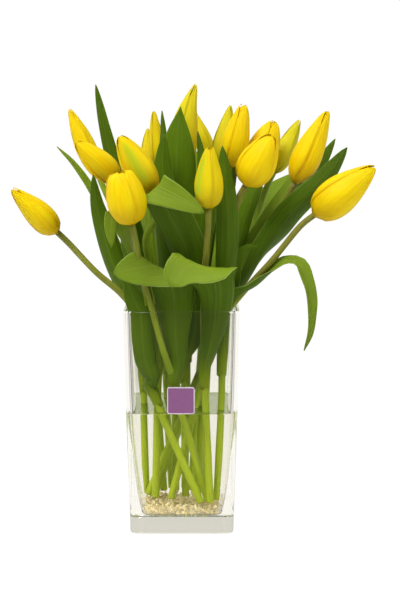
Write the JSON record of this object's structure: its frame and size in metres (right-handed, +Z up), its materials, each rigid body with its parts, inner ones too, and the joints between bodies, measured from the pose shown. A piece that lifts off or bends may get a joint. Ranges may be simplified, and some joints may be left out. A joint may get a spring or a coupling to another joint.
{
  "type": "tulips in a glass vase",
  "caption": "Bunch of yellow tulips with their leaves, standing in water on marble chips in a tall square tapered glass vase.",
  "frame": {"origin": "middle of the flat face that the vase stands on", "axes": "+Z up along the vase, +X to the right along the face with the label, which looks along -Y"},
  "size_m": [0.3126, 0.1812, 0.3947],
  "materials": {
    "glass": "polished",
    "water": "polished",
    "marble": "matte",
    "label": "satin",
    "leaf": "satin",
    "petal": "satin"
  },
  "bodies": {
    "root": {"tulip01_stem": "leaf", "tulip01_bloom": "petal", "tulip02_stem": "leaf", "tulip02_bloom": "petal", "tulip03_stem": "leaf", "tulip03_bloom": "petal", "tulip04_stem": "leaf", "tulip04_bloom": "petal", "tulip05_stem": "leaf", "tulip05_bloom": "petal", "tulip06_stem": "leaf", "tulip06_bloom": "petal", "tulip07_stem": "leaf", "tulip07_bloom": "petal", "tulip08_stem": "leaf", "tulip08_bloom": "petal", "tulip09_stem": "leaf", "tulip09_bloom": "petal", "tulip10_stem": "leaf", "tulip10_bloom": "petal", "tulip11_stem": "leaf", "tulip11_bloom": "petal", "tulip12_stem": "leaf", "tulip12_bloom": "petal", "tulip13_stem": "leaf", "tulip13_bloom": "petal", "tulip14_stem": "leaf", "tulip14_bloom": "petal", "tulip15_stem": "leaf", "tulip15_bloom": "petal", "tulip16_stem": "leaf", "tulip16_bloom": "petal", "tulip17_stem": "leaf", "tulip17_bloom": "petal", "vase": "glass", "water": "water", "gravel": "marble", "label": "label"}
  },
  "joints": []
}
